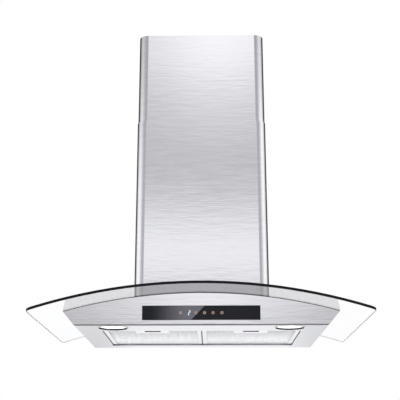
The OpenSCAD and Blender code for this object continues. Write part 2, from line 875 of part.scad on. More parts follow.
module motor_stator() hood() color("slategray") in_fan()
    translate([0, 0, stator_x0]) linear_extrude(stator_l) difference() {
        circle(stator_r);
        circle(rotor_r + air_gap);
        for (i = [0 : stator_slots - 1]) rotate(i * 360 / stator_slots + 180 / stator_slots)
            translate([rotor_r + 3, -2.5]) square([8, 5]);
    }

module motor_windings() hood() color("chocolate") in_fan() {
    for (x = [stator_x0 - winding_r, stator_x0 + stator_l + winding_r])
        translate([0, 0, x]) rotate_extrude() translate([rotor_r + 9, 0]) circle(winding_r);
}

module motor_bearings() hood() color("silver") in_fan() {
    for (x = [motor_x0 + end_cap_t, motor_x1 - end_cap_t - bearing_w]) difference() {
        motor_tube(shaft_r + run_fit / 2, bearing_r, x, x + bearing_w);
        motor_tube(shaft_r + 2, bearing_r - 2, x - cut, x + 0.4);
        motor_tube(shaft_r + 2, bearing_r - 2, x + bearing_w - 0.4, x + bearing_w + cut);
    }
}

// Wheel of forward-curved blades that draws air from both sides of its middle disc
module fan_wheel() hood() color("gainsboro") in_fan() {
    translate([0, 0, -wheel_half + wheel_ring_t / 2]) linear_extrude(2 * wheel_half - wheel_ring_t)
        for (i = [0 : blade_n - 1]) rotate(i * 360 / blade_n) polygon(concat(
            [for (k = [0 : blade_steps]) blade_point(k / blade_steps, -1)],
            [for (k = [blade_steps : -1 : 0]) blade_point(k / blade_steps, 1)]));
    for (x = [-wheel_half, wheel_half - wheel_ring_t])
        motor_tube(wheel_r - wheel_ring_w, wheel_r + 0.5, x, x + wheel_ring_t);
    motor_tube(hub_r + seat_fit, wheel_r + 0.5, -disc_t / 2, disc_t / 2);
}

module fan_hub() hood() color("silver") in_fan() {
    motor_tube(shaft_r + seat_fit, hub_r, -hub_half, hub_half);
    motor_tube(shaft_r + seat_fit, hub_flange_r, disc_t / 2, disc_t / 2 + hub_flange_t);
}

module motor_shaft() hood() color("silver") in_fan() {
    translate([0, 0, -hub_half - 3]) cylinder(r = shaft_r, h = hub_half + 3 + motor_x1 - end_cap_t - 0.5);
}

module motor_rotor() hood() color("dimgray") in_fan() {
    motor_tube(shaft_r + seat_fit, rotor_r, stator_x0, stator_x0 + stator_l);
    for (x = [stator_x0 - 3, stator_x0 + stator_l]) motor_tube(rotor_r - 8, rotor_r - 1, x, x + 3);
}

// Outlet collar and its two back-draught flaps

module flap_axis(s) {
    translate([0, -outlet_y + s * pin_gap / 2, pin_z]) rotate([0, 90, 0]) children();
}

module outlet_collar() hood() color("silver") difference() {
    translate([0, -outlet_y, box_top]) {
        difference() {
            union() {
                translate([-plate_w / 2, -plate_d / 2, 0]) cube([plate_w, plate_d, collar_t]);
                cylinder(r = collar_r, h = collar_h + collar_t);
            }
            translate([0, 0, -cut]) cylinder(r = collar_in, h = collar_h + collar_t + 2 * cut);
        }
        translate([0, 0, pin_h - flap_t / 2 - ledge_drop - ledge_t]) linear_extrude(ledge_t) difference() {
            circle(collar_in + 0.1);
            circle(collar_in - ledge_w);
        }
    }
    for (s = [-1, 1]) flap_axis(s) translate([0, 0, -collar_r - cut])
        cylinder(r = pin_r + seat_fit, h = 2 * (collar_r + cut));
    collar_screw_spots(box_top + collar_t) screw_hole(collar_t + cut);
}

module damper_pins() hood() color("gray") {
    half = sqrt(pow(collar_r, 2) - pow(pin_gap / 2 + pin_r, 2)) - 0.1;
    for (s = [-1, 1]) flap_axis(s) translate([0, 0, -half]) cylinder(r = pin_r, h = 2 * half);
}

module damper_flap(s) hood() color("gainsboro") difference() {
    union() {
        translate([0, -outlet_y, pin_z - flap_t / 2]) linear_extrude(flap_t) intersection() {
            circle(collar_in - flap_gap);
            translate([-collar_r, s > 0 ? pin_gap / 2 : -collar_r - pin_gap / 2])
                square([2 * collar_r, collar_r]);
        }
        flap_axis(s) translate([0, 0, -flap_sleeve_w / 2])
            cylinder(r = pin_r + flap_sleeve_t, h = flap_sleeve_w);
    }
    flap_axis(s) translate([0, 0, -collar_r]) cylinder(r = pin_r + run_fit, h = 2 * collar_r);
}

// Terminal box on top of the casing

module power_box() hood() color("dimgray") difference() {
    translate([power_x, -power_y - power_l, box_top]) cube([power_w, power_l, power_h]);
    translate([power_x + power_wall, -power_y - power_l + power_wall, box_top - cut])
        cube([power_w - 2 * power_wall, power_l - 2 * power_wall, power_h - power_wall + cut]);
    translate([power_x + power_w / 2, -gland_y, box_top])
        cylinder(r = gland_r - 2 + seat_fit, h = power_h + cut);
}

module power_board() hood() color("darkgreen") {
    length = power_l - cap_l - 20;
    width = power_w - 2 * power_wall - 2;
    translate([power_x + power_wall + 1, -power_y - power_wall - length - 1, box_top + 3]) {
        cube([width, length, board_t]);
        for (i = [0 : 2]) translate([4, 8 + i * length / 3.4, board_t]) cube([width - 8, length / 6, 12]);
    }
    for (s = [0, 1], t = [0, 1]) translate([
        power_x + power_wall + 5 + s * (width - 8),
        -power_y - power_wall - 5 - t * (length - 8), box_top]) cylinder(r = 2, h = 3);
}

module capacitor() hood() color("white")
    translate([power_x + power_w / 2, -cap_y + power_wall, box_top + cap_r + 0.3]) rotate([-90, 0, 0]) {
        cylinder(r = cap_r, h = cap_l - 4);
        translate([0, 0, -2]) cylinder(r = cap_r - 2, h = 3);
        for (s = [-1, 1]) translate([s * 6, -1, cap_l - 5]) cube([0.8, 6, 9]);
    }

module cable_gland() hood() color("black") translate([power_x + power_w / 2, -gland_y, power_top])
    difference() {
        union() {
            cylinder(r = gland_r, h = 4, $fn = 6);
            translate([0, 0, 4]) cylinder(r = gland_r - 2, h = 8);
            translate([0, 0, -power_wall - 4]) cylinder(r = gland_r - 2, h = power_wall + 5);
        }
        translate([0, 0, -power_wall - 4 - cut]) cylinder(r = gland_bore_r, h = power_wall + 16 + 2 * cut);
    }

// Chimney

// Section of a chimney part that is open at the wall, with its rear edges turned in
module chimney_section(w, d, r, rear) {
    difference() {
        wall_outline(w, d, r);
        difference() {
            translate([0, cut]) wall_outline(w - 2 * chimney_t, d + cut - chimney_t, r - chimney_t);
            for (s = [-1, 1]) translate([s * (w - chimney_lip) / 2, -rear - chimney_t / 2])
                square([chimney_lip, chimney_t], center = true);
        }
        translate([-w, -rear]) square([2 * w, rear + cut]);
    }
}

module side_screw_spots(x, y, z) {
    for (s = [-1, 1]) translate([s * x, -y, z]) rotate([0, 90 * s, 0]) children();
}

module lower_chimney() hood() color("silver") difference() {
    linear_extrude(lower_top) chimney_section(chimney_w, chimney_d, chimney_r, 0);
    arch_drum(glass_R + bottom_gap);
    side_screw_spots(chimney_w / 2, side_bracket_y, side_bracket_z + side_bracket_h / 2)
        screw_hole(chimney_t + cut);
}

module chimney_brackets() hood() color("silver") {
    reach = chimney_w / 2 - chimney_t - side_gap;
    for (s = [0, 1]) mirror([s, 0, 0]) translate([0, -side_bracket_y + side_bracket_w / 2, side_bracket_z])
        difference() {
            rotate([90, 0, 0]) linear_extrude(side_bracket_w) {
                translate([box_w / 2, 0]) square([sheet_t, side_bracket_h]);
                translate([box_w / 2, 0]) square([reach - box_w / 2, sheet_t]);
                translate([reach - sheet_t, 0]) square([sheet_t, side_bracket_h]);
            }
            translate([reach, -side_bracket_w / 2, side_bracket_h / 2]) rotate([0, 90, 0])
                screw_hole(sheet_t + cut);
        }
}

module chimney_screws() hood() color("lightgray")
    side_screw_spots(chimney_w / 2, side_bracket_y, side_bracket_z + side_bracket_h / 2)
        small_screw(chimney_t + side_gap + sheet_t + 3);

bracket_y = bracket_arm + bracket_tab / 2;
bracket_z = hood_h - bracket_drop - bracket_h / 2;

module upper_chimney() hood() color("silver") difference() {
    translate([0, 0, hood_h - upper_l]) linear_extrude(upper_l)
        chimney_section(upper_w, chimney_d - slide_step, upper_r, slide_step);
    for (s = [-1, 1], i = [0 : slot_n - 1])
        translate([s * upper_w / 2 - cut, -vent_y - slot_l / 2, hood_h - vent_drop - i * vent_pitch])
            cube([2 * cut, slot_l, vent_h]);
    side_screw_spots(upper_w / 2, bracket_y, bracket_z) screw_hole(chimney_t + cut);
}

// Strip bent back from the wall to the inside of the chimney's sides
module ceiling_bracket() hood() color("silver") difference() {
    reach = upper_w / 2 - chimney_t - side_gap;
    base = bracket_base_w / 2;
    t = bracket_strip_t;
    translate([0, 0, bracket_z - bracket_h / 2]) linear_extrude(bracket_h) {
        translate([-base, -t]) square([2 * base, t]);
        for (s = [0, 1]) mirror([s, 0]) {
            translate([base - t, -bracket_arm]) square([t, bracket_arm]);
            translate([base - t, -bracket_arm]) square([reach - base + t, t]);
            translate([reach - t, -bracket_arm - bracket_tab + t]) square([t, bracket_tab]);
        }
    }
    for (s = [-1, 1]) translate([s * bracket_bolt_dx / 2, cut, bracket_z])
        rotate([90, 0, 0]) cylinder(r = bracket_bolt_r, h = t + 2 * cut);
    side_screw_spots(reach, bracket_y, bracket_z) screw_hole(t + cut);
}

module bracket_screws() hood() color("lightgray")
    side_screw_spots(upper_w / 2, bracket_y, bracket_z)
        small_screw(chimney_t + side_gap + bracket_strip_t + 3);

// Filters

module filter_block(inset, low, high) {
    translate([inset - filter_w / 2, inset - filter_front, filter_recess + low])
        cube([filter_w - 2 * inset, filter_d - 2 * inset, high - low]);
}

module filter_frame(s) hood() color("gainsboro") in_filter(s) {
    difference() {
        filter_block(0, 0, filter_h);
        filter_block(rail_w, -cut, filter_h + cut);
        filter_block(rail_t, rail_t, filter_h - rail_t);
        translate([-bolt_slot_w / 2, -filter_front - cut, bolt_z - latch_fit])
            cube([bolt_slot_w, rail_t + 2 * cut, bolt_slot_h]);
    }
    for (t = [-1, 1]) translate([t * tab_x - tab_w / 2, -filter_rear - rail_t, filter_recess])
        cube([tab_w, rail_t + rear_gap + sheet_t + tab_reach, tab_t]);
}

// Room that the layers leave for the latch housing
module latch_room() {
    gap = layer_gap;
    translate([-latch_w / 2 - gap, -filter_front - cut, filter_recess - cut])
        cube([latch_w + 2 * gap, filter_front - latch_front + latch_d + cut + gap, filter_h + 2 * cut]);
}

// One field behind the latch and a strip on each side of it, with the latch standing free between them
module filter_mesh(s) hood() color("gainsboro") in_filter(s) {
    inner_w = filter_w - 2 * rail_w;
    inner_d = filter_d - 2 * rail_w;
    cell_w = inner_w / mesh_cols;
    cell_d = inner_d / mesh_rows;
    half_w = cell_w / 2 - strand_w / 2;
    half_d = cell_d - strand_w;
    latch_half = latch_w / 2 + strand_w;
    latch_edge = filter_front - latch_front + latch_d + strand_w - rail_w;
    difference() {
        filter_block(rail_t + layer_gap, rail_t, rail_t + mesh_t);
        latch_room();
        translate([-filter_w / 2, latch_d - latch_front, filter_recess])
            cube([filter_w, layer_gap, filter_h]);
        for (i = [0 : mesh_cols - 1], j = [1 : mesh_rows - 1]) {
            x = (i + (j % 2) / 2) * cell_w - inner_w / 2 + cell_w / 2;
            y = j * cell_d;
            over_latch = abs(x) - half_w < latch_half && y - half_d < latch_edge;
            if (!over_latch && abs(x) + half_w < inner_w / 2)
                translate([x, y + rail_w - filter_front, filter_recess - cut]) linear_extrude(filter_h)
                    polygon([[-half_w, 0], [0, -half_d], [half_w, 0], [0, half_d]]);
        }
    }
}

module filter_core(s) hood() color("silver") in_filter(s) difference() {
    inset = rail_t + layer_gap;
    width = filter_w - 2 * inset;
    low = filter_recess + rail_t + mesh_t + layer_gap;
    high = filter_recess + filter_h - rail_t - layer_gap - pleat_t;
    translate([-width / 2, -filter_rear - inset, 0]) rotate([90, 0, 0]) linear_extrude(filter_d - 2 * inset)
        polygon(concat(
            [for (i = [0 : pleat_n]) [i * width / pleat_n, i % 2 == 0 ? low : high]],
            [for (i = [pleat_n : -1 : 0]) [i * width / pleat_n, (i % 2 == 0 ? low : high) + pleat_t]]));
    latch_room();
}

module latch_housing(s) hood() color("dimgray") in_filter(s) difference() {
    translate([-latch_w / 2, -latch_front, latch_low]) cube([latch_w, latch_d, latch_h]);
    translate([-finger_w / 2, -finger_front, latch_low - cut])
        cube([finger_w, finger_d, bolt_z - latch_low + cut]);
    translate([-bolt_slot_w / 2, -latch_front - cut, bolt_z - latch_fit])
        cube([bolt_slot_w, latch_front - slider_rear + latch_travel + latch_fit + cut, bolt_slot_h]);
    translate([0, -slider_rear, bolt_z + latch_plate_t / 2]) rotate([-90, 0, 0])
        cylinder(r = spring_bore_r, h = slider_rear - latch_rear);
}

module latch(s) hood() color("black") in_filter(s) {
    translate([-latch_plate_w / 2, -opening_front - latch_reach, bolt_z])
        cube([latch_plate_w, opening_front + latch_reach - slider_rear, latch_plate_t]);
    translate([-latch_bar_w / 2, -finger_front + bar_gap, latch_low + bar_gap])
        cube([latch_bar_w, latch_bar_d, bolt_z - latch_low - bar_gap - 0.2]);
    translate([-latch_plate_w / 2, -finger_front + bar_gap, latch_low + bar_gap])
        cube([latch_plate_w, latch_bar_d, bolt_z - latch_low]);
}

function coil_ring(k, n, length) =
    let (turn = 360 * spring_turns * k / n)
    let (pitch_a = atan(length / spring_turns / (2 * PI * spring_r)))
    [for (m = [0 : spring_sides - 1])
        let (a = 360 * m / spring_sides)
        let (u = spring_wire_r * cos(a), v = spring_wire_r * sin(a))
        [(spring_r + u) * cos(turn) + v * sin(pitch_a) * sin(turn),
         (spring_r + u) * sin(turn) - v * sin(pitch_a) * cos(turn),
         spring_wire_r + (length - 2 * spring_wire_r) * k / n + v * cos(pitch_a)]];

// Compression spring behind the latch, as one unbroken tube
module latch_spring(s) hood() color("silver") in_filter(s) {
    length = slider_rear - latch_rear - 0.4;
    n = spring_turns * spring_rings;
    m = spring_sides;
    translate([0, -slider_rear + 0.2, bolt_z + latch_plate_t / 2]) rotate([-90, 0, 0]) polyhedron(
        points = [for (k = [0 : n]) each coil_ring(k, n, length)],
        faces = concat(
            [[for (i = [0 : m - 1]) i]],
            [for (k = [0 : n - 1], i = [0 : m - 1]) each [
                [k * m + i, (k + 1) * m + (i + 1) % m, k * m + (i + 1) % m],
                [k * m + i, (k + 1) * m + i, (k + 1) * m + (i + 1) % m]]],
            [[for (i = [m - 1 : -1 : 0]) n * m + i]]));
}

body_shell();
deck_plate();
underside_panel();
glass_canopy();
glass_gasket();
glass_screws();
glass_washers();
control_glass();
touch_board();
control_case();
control_nuts();
lamp_bezel(-1);  // lamp_bezel_left
lamp_bezel(1);  // lamp_bezel_right
lamp_lens(-1);  // lamp_lens_left
lamp_lens(1);  // lamp_lens_right
lamp_module(-1);  // lamp_module_left
lamp_module(1);  // lamp_module_right
lamp_clips();
blower_box();
casing_screws();
scroll_housing();
inlet_ring(-1);  // inlet_ring_left
inlet_ring(1);  // inlet_ring_right
fan_screws();
motor_bracket();
motor_housing();
motor_end_cap();
motor_stator();
motor_windings();
motor_bearings();
outlet_collar();
damper_pins();
power_box();
power_board();
cable_gland();
capacitor();
lower_chimney();
chimney_brackets();
chimney_screws();
fan_wheel();
fan_hub();
motor_shaft();
motor_rotor();
damper_flap(-1);  // damper_flap_front
damper_flap(1);  // damper_flap_rear
filter_frame(-1);  // filter_frame_left
filter_mesh(-1);  // filter_mesh_left
filter_core(-1);  // filter_core_left
latch_housing(-1);  // latch_housing_left
latch(-1);  // latch_left
latch_spring(-1);  // latch_spring_left
filter_frame(1);  // filter_frame_right
filter_mesh(1);  // filter_mesh_right
filter_core(1);  // filter_core_right
latch_housing(1);  // latch_housing_right
latch(1);  // latch_right
latch_spring(1);  // latch_spring_right
upper_chimney();
ceiling_bracket();
bracket_screws();
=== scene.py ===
import json
import math

import bmesh
import bpy
from mathutils import Matrix, Vector


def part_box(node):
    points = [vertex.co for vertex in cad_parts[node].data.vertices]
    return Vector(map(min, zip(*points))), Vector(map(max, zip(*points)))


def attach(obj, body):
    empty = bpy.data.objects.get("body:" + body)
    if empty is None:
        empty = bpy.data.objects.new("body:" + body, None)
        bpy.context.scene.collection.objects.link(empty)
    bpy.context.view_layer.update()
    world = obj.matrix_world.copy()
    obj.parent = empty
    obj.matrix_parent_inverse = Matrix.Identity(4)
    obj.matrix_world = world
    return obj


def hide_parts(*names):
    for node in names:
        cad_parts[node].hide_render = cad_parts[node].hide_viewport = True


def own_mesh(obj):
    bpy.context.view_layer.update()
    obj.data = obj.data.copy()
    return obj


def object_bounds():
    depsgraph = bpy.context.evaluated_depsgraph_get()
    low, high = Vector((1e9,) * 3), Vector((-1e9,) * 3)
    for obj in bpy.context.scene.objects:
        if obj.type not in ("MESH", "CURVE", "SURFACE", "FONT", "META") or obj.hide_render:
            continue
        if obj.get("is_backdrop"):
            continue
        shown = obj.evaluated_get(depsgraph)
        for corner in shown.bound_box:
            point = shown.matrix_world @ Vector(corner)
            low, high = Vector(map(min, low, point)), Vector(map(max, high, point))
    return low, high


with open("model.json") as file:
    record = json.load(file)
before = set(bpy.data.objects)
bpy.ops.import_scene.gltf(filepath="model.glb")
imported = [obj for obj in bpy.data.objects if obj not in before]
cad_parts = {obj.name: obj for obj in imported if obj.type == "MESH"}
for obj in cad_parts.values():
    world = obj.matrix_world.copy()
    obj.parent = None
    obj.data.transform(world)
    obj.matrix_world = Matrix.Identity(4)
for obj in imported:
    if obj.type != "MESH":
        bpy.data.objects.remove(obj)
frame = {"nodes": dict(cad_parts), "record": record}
cad_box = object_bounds()
NODES = frame["nodes"]

# Sizes repeated from the solids, in metres
MOUNT_H = 0.160
BODY_D = 0.389
LEAN = math.atan(0.009 / 0.0705)
CTRL_Z = 0.0267
KEY_PITCH = 0.0187
LAMP_X = 0.203
LAMP_Y = 0.342
LAMP_R = 0.033
FILTER_X = 0.117
FILTER_W = 0.2316
FILTER_FRONT = 0.295
FILTER_D = 0.249
FILTER_Z = 0.0035
RAIL_T = 0.0008
LATCH_W = 0.080
LATCH_REAR = 0.2368

# Places where a look changes: the painted reflection on the control glass, the painted shade inside
# the lamp's ring, the painted shade in the latch's finger slot
PAINTED_SHEEN_START, PAINTED_SHEEN_FULL, PAINTED_SHEEN_EDGE = -0.1175, -0.025, -0.0076
LAMP_SHADE_R = LAMP_R + 0.0006
LAMP_SHADE_Z = -0.0006
WELL_HALF_W, WELL_FRONT, WELL_REAR, WELL_Z = 0.0194, -0.2702, -0.2534, 0.0041

# Brushed streaks, as cells per metre
STREAK_LONG, STREAK_FINE, STREAK_COARSE = 36.0, 330.0, 110.0

# Net of the filters: pitch across and from front to rear, width and thickness of a strand
NET_LONG, NET_SHORT = 0.0090, 0.0056
STRAND_W, STRAND_T = 0.0013, 0.0005
STRAND_SECTION = ((-1, -0.3), (1, -0.86), (1, -0.1))
STRAND_LAP = 0.35
NET_GAP = 0.0004
NET_LIFT = 0.0003
HOUSING_GAP = 0.0012

# Latch spring: radii of coil and wire, turns, and the share of them that lies closed at each end
COIL_R, WIRE_R = 0.0013, 0.00025
COIL_TURNS = 8
COIL_DEAD = 0.16
COIL_PLAY = 1.02
COIL_STEPS, WIRE_STEPS = 20, 10

# Prints on the control glass
KEYS = [k * KEY_PITCH for k in (-2.5, -1.45, -0.63, 0.4, 1.43, 2.5)]
DIGIT_KEY = 1
SPOT_RING, SPOT_DOT = (0.0019, 0.0033), (0.0001, 0.0010)
MARK_OUT, MARK_IN = 0.00004, -0.0001
DIGIT_W, DIGIT_H, BAR = 0.0030, 0.0094, 0.0010
DIGIT_SLANT = 0.15
BAR_GAP = 0.15

# Rounding of folded and cut edges
ROUNDED = {
    "body_shell": 0.0005, "underside_panel": 0.0004, "lower_chimney": 0.0003,
    "upper_chimney": 0.0003, "filter_frame_left": 0.0007, "filter_frame_right": 0.0007,
    "latch_housing_left": 0.0005, "latch_housing_right": 0.0005, "latch_left": 0.0004,
    "latch_right": 0.0004, "glass_canopy": 0.00015, "power_box": 0.0006, "blower_box": 0.0004,
    "control_glass": 0.0004, "motor_end_cap": 0.0005,
}
SHARP_ANGLE = 0.5
BEVEL_ANGLE = 0.7


def above(z):
    """Height above the underside, in the frame's own height."""
    return z - MOUNT_H


# Node helpers

class Tree:
    """Short calls that build one node tree."""

    def __init__(self, tree):
        self.nodes = tree.nodes
        self.links = tree.links

    def add(self, kind, **values):
        node = self.nodes.new(kind)
        for name, value in values.items():
            setattr(node, name, value)
        return node

    def plug(self, value, socket):
        if isinstance(value, bpy.types.NodeSocket):
            self.links.new(value, socket)
        elif value is not None:
            socket.default_value = value

    def math(self, op, a, b=None):
        node = self.add("ShaderNodeMath", operation=op)
        for value, socket in zip((a, b), node.inputs):
            self.plug(value, socket)
        return node.outputs[0]

    def product(self, first, *others):
        """Product of values, which for tests is where all of them hold."""
        for other in others:
            first = self.math("MULTIPLY", first, other)
        return first

    def length(self, a, b):
        return self.math("SQRT", self.math("ADD", self.product(a, a), self.product(b, b)))

    def angle(self, a, b):
        """Angle in degrees whose tangent is a to b."""
        return self.product(self.math("ARCTAN2", a, b), 180 / math.pi)

    def split(self, vector):
        node = self.add("ShaderNodeSeparateXYZ")
        self.plug(vector, node.inputs[0])
        return node.outputs

    def place(self):
        return self.add("ShaderNodeTexCoord").outputs["Object"]

    def normal(self):
        return self.add("ShaderNodeNewGeometry").outputs["Normal"]

    def turned(self, axis):
        """How far a face is turned to an axis, either way: 1 where it looks along it."""
        return self.math("ABSOLUTE", self.split(self.normal())[axis])

    def scaled(self, vector, scale):
        node = self.add("ShaderNodeMapping")
        self.plug(vector, node.inputs["Vector"])
        node.inputs["Scale"].default_value = scale
        return node.outputs[0]

    def noise(self, vector, scale=1.0, detail=4.0, rough=0.5):
        node = self.add("ShaderNodeTexNoise")
        self.plug(vector, node.inputs["Vector"])
        node.inputs["Scale"].default_value = scale
        node.inputs["Detail"].default_value = detail
        node.inputs["Roughness"].default_value = rough
        return node.outputs[0]

    def texture(self, kind, vector, scale, **values):
        node = self.add(kind, **values)
        self.plug(vector, node.inputs["Vector"])
        node.inputs["Scale"].default_value = scale
        return node

    def remap(self, value, a0, a1, b0, b1, smooth=False):
        node = self.add("ShaderNodeMapRange")
        if smooth:
            node.interpolation_type = "SMOOTHSTEP"
        for v, socket in zip((value, a0, a1, b0, b1), node.inputs):
            self.plug(v, socket)
        return node.outputs[0]

    def share(self, value, start, full):
        """Goes from 0 at one value to 1 at the other."""
        return self.remap(value, start, full, 0.0, 1.0)

    def vary(self, noise, low, high):
        """Stretches a noise, which mostly lies between 0.3 and 0.7, over a range."""
        return self.remap(noise, 0.3, 0.7, low, high)

    def ramp(self, value, stops):
        node = self.add("ShaderNodeValToRGB")
        self.plug(value, node.inputs[0])
        band = node.color_ramp
        while len(band.elements) < len(stops):
            band.elements.new(0.5)
        for element, (place, colour) in zip(band.elements, stops):
            element.position = place
            element.color = (*colour, 1.0)
        return node.outputs[0]

    def profile(self, value, low, high, stops):
        """Brightness along a range of degrees: stops are (degrees, brightness)."""
        greys = [((d - low) / (high - low), (b, b, b)) for d, b in stops]
        return self.split(self.ramp(self.share(value, low, high), greys))[0]

    def mix(self, factor, a, b, blend="MIX"):
        """Mix of two colours."""
        node = self.add("ShaderNodeMix", data_type="RGBA", blend_type=blend)
        self.plug(factor, node.inputs[0])
        for value, socket in zip((a, b), node.inputs[6:8]):
            if isinstance(value, tuple) and len(value) == 3:
                value = (*value, 1.0)
            self.plug(value, socket)
        return node.outputs[2]

    def between(self, factor, a, b):
        """Mix of two values."""
        node = self.add("ShaderNodeMix", data_type="FLOAT")
        self.plug(factor, node.inputs[0])
        for value, socket in zip((a, b), node.inputs[2:4]):
            self.plug(value, socket)
        return node.outputs[0]

    def toned(self, colour, tone):
        """Colour made lighter or darker by a tone."""
        grey = self.add("ShaderNodeCombineColor")
        for socket in grey.inputs:
            self.plug(tone, socket)
        return self.mix(1.0, colour, grey.outputs[0], "MULTIPLY")

    def bump(self, height, strength, distance=0.001, normal=None):
        node = self.add("ShaderNodeBump")
        self.plug(height, node.inputs["Height"])
        self.plug(normal, node.inputs["Normal"])
        node.inputs["Strength"].default_value = strength
        node.inputs["Distance"].default_value = distance
        return node.outputs[0]

    def blend(self, factor, a, b):
        """Mix of two surfaces."""
        node = self.add("ShaderNodeMixShader")
        self.plug(factor, node.inputs[0])
        self.links.new(a, node.inputs[1])
        self.links.new(b, node.inputs[2])
        return node.outputs[0]

    def surface(self, **values):
        node = self.add("ShaderNodeBsdfPrincipled")
        for name, value in values.items():
            socket = node.inputs[name.replace("_", " ")]
            if isinstance(value, tuple) and len(value) == 3 and len(socket.default_value) == 4:
                value = (*value, 1.0)
            self.plug(value, socket)
        return node.outputs[0]


def grow(holder, build, output):
    """Gives a material or a world the node tree that a function builds."""
    holder.use_nodes = True
    holder.node_tree.nodes.clear()
    t = Tree(holder.node_tree)
    shader = build(t)
    t.links.new(shader, t.add(output).inputs["Surface"])
    return holder


def material(name, build):
    return grow(bpy.data.materials.new(name), build, "ShaderNodeOutputMaterial")


# Materials

def grain(t):
    """Streaks of brushed sheet: long across, thin up a wall, and thin to the rear on a level face."""
    place = t.place()
    wide = STREAK_LONG * 0.4

    def streaks(fine, coarse):
        return t.between(0.65, t.noise(t.scaled(place, fine), 1.0, 3.0, 0.6),
                         t.noise(t.scaled(place, coarse), 1.0, 2.0))

    level = t.math("GREATER_THAN", t.turned(2), 0.8)
    wall = streaks((STREAK_LONG, STREAK_LONG, STREAK_FINE), (wide, wide, STREAK_COARSE))
    flat = streaks((STREAK_LONG, STREAK_FINE, 1.0), (wide, STREAK_COARSE, 1.0))
    return t.between(level, wall, flat)


def pushed_normal(t, axis, amount):
    """Normal of the surface, pushed along one axis."""
    push = t.add("ShaderNodeCombineXYZ")
    t.plug(amount, push.inputs[axis])
    total = t.add("ShaderNodeVectorMath", operation="ADD")
    t.plug(t.normal(), total.inputs[0])
    t.plug(push.outputs[0], total.inputs[1])
    unit = t.add("ShaderNodeVectorMath", operation="NORMALIZE")
    t.plug(total.outputs[0], unit.inputs[0])
    return unit.outputs[0]


def folded_normal(t, axis, flat, sharp, reach):
    """Turns the normals over the last millimetres before an edge, as the fold of a sheet does."""
    fold = t.share(t.split(t.place())[axis], flat, sharp)
    return pushed_normal(t, axis, t.product(fold, -reach))


def crowned_normal(t, reach):
    """Tips the normals of level faces a little to the front, as a rolled rail's crown does."""
    level = t.math("GREATER_THAN", t.turned(2), 0.8)
    return pushed_normal(t, 1, t.product(level, -reach))


def brushed_steel(tint, rough, contrast, bump, fold, wall_shade=1.0):
    def build(t):
        streak = grain(t)
        tone = t.vary(streak, 1.0 - contrast, 1.0 + contrast)
        # Upright faces are made darker by this share: painted shade on the sides of recesses
        if wall_shade < 1.0:
            upright = t.math("LESS_THAN", t.turned(2), 0.5)
            tone = t.product(tone, t.between(upright, 1.0, wall_shade))
        tangent = t.add("ShaderNodeTangent", direction_type="RADIAL", axis="Z").outputs[0]
        return t.surface(Base_Color=t.toned(tint, tone), Metallic=1.0,
                         Roughness=t.vary(streak, rough - 0.03, rough + 0.03),
                         Anisotropic=0.5, Tangent=tangent,
                         Normal=t.bump(streak, bump, 0.0004, folded_normal(t, **fold)))
    return build


def plain_metal(tint, rough, scale=60.0, spread=0.08, bump=0.05, ends=1.0, crown=0.0):
    """Metal with a faint cloud; ends darkens faces that look sideways as painted shade, crown tips
    level ones.
    """
    def build(t):
        cloud = t.noise(t.place(), scale, 5.0, 0.6)
        tone = t.vary(cloud, 1.0 - spread, 1.0 + spread)
        if ends < 1.0:
            sideways = t.math("GREATER_THAN", t.turned(0), 0.8)
            tone = t.product(tone, t.between(sideways, 1.0, ends))
        turned = crowned_normal(t, crown) if crown else None
        return t.surface(Base_Color=t.toned(tint, tone), Metallic=1.0,
                         Roughness=t.vary(cloud, rough - 0.06, rough + 0.06),
                         Normal=t.bump(cloud, bump, 0.0005, turned))
    return build


def galvanised(t):
    """Zinc sheet with spangle."""
    place = t.place()
    tone = t.split(t.texture("ShaderNodeTexVoronoi", place, 110.0).outputs["Color"])[0]
    return t.surface(Base_Color=t.mix(tone, (0.50, 0.52, 0.54), (0.66, 0.68, 0.70)), Metallic=0.85,
                     Roughness=t.remap(tone, 0.0, 1.0, 0.32, 0.5),
                     Normal=t.bump(t.noise(place, 30.0), 0.06, 0.001))


def plastic(tint, rough, scale=900.0, bump=0.15, spread=0.1):
    def build(t):
        speck = t.noise(t.place(), scale, 2.0)
        tone = t.vary(t.noise(t.place(), 18.0, 3.0), 1.0 - spread, 1.0 + spread)
        return t.surface(Base_Color=t.toned(tint, tone),
                         Roughness=t.vary(speck, rough - 0.07, rough + 0.07),
                         Normal=t.bump(speck, bump, 0.0003))
    return build


def canopy_glass(t):
    """Clear glass with painted shade on its edges: near black at the front and grey at the ends."""
    smear = t.noise(t.place(), 9.0, 3.0)
    clear = t.surface(Base_Color=(0.996, 0.997, 1.0), Transmission_Weight=1.0, IOR=1.5,
                      Roughness=t.remap(smear, 0.45, 0.75, 0.0, 0.012))
    # Painted shade: the front edge is coloured near black and the end edges grey, standing in for the
    # light the glass carries there
    front = t.surface(Base_Color=t.mix(smear, (0.010, 0.010, 0.012), (0.014, 0.014, 0.017)),
                      Roughness=0.3, Specular_IOR_Level=0.06)
    end = t.surface(Base_Color=t.mix(smear, (0.44, 0.47, 0.47), (0.54, 0.57, 0.57)), Roughness=0.15)
    is_front = t.math("LESS_THAN", t.split(t.normal())[1], -0.35)
    is_end = t.math("GREATER_THAN", t.turned(0), 0.8)
    return t.blend(is_front, t.blend(is_end, clear, end), front)


def control_glass(t):
    """Black glass with a painted reflection that grows to the right and ends in a slanted edge."""
    x, _, z = t.split(t.place())
    slant = t.math("ADD", x, t.product(t.math("SUBTRACT", z, above(CTRL_Z)), -1.0))
    # Painted reflection: a lighter grey that rises from the left and is cut off by a slanted edge
    sheen = t.product(t.remap(x, PAINTED_SHEEN_START, PAINTED_SHEEN_FULL, 0.0, 1.0, True),
                      t.math("LESS_THAN", slant, PAINTED_SHEEN_EDGE))
    dark = t.mix(t.noise(t.place(), 300.0, 2.0), (0.0135, 0.0143, 0.0186), (0.0165, 0.0175, 0.0222))
    return t.surface(Base_Color=t.mix(sheen, dark, (0.186, 0.184, 0.222)), Roughness=0.06,
                     Specular_IOR_Level=0.14, Normal=t.bump(t.noise(t.place(), 12.0), 0.02, 0.0005))


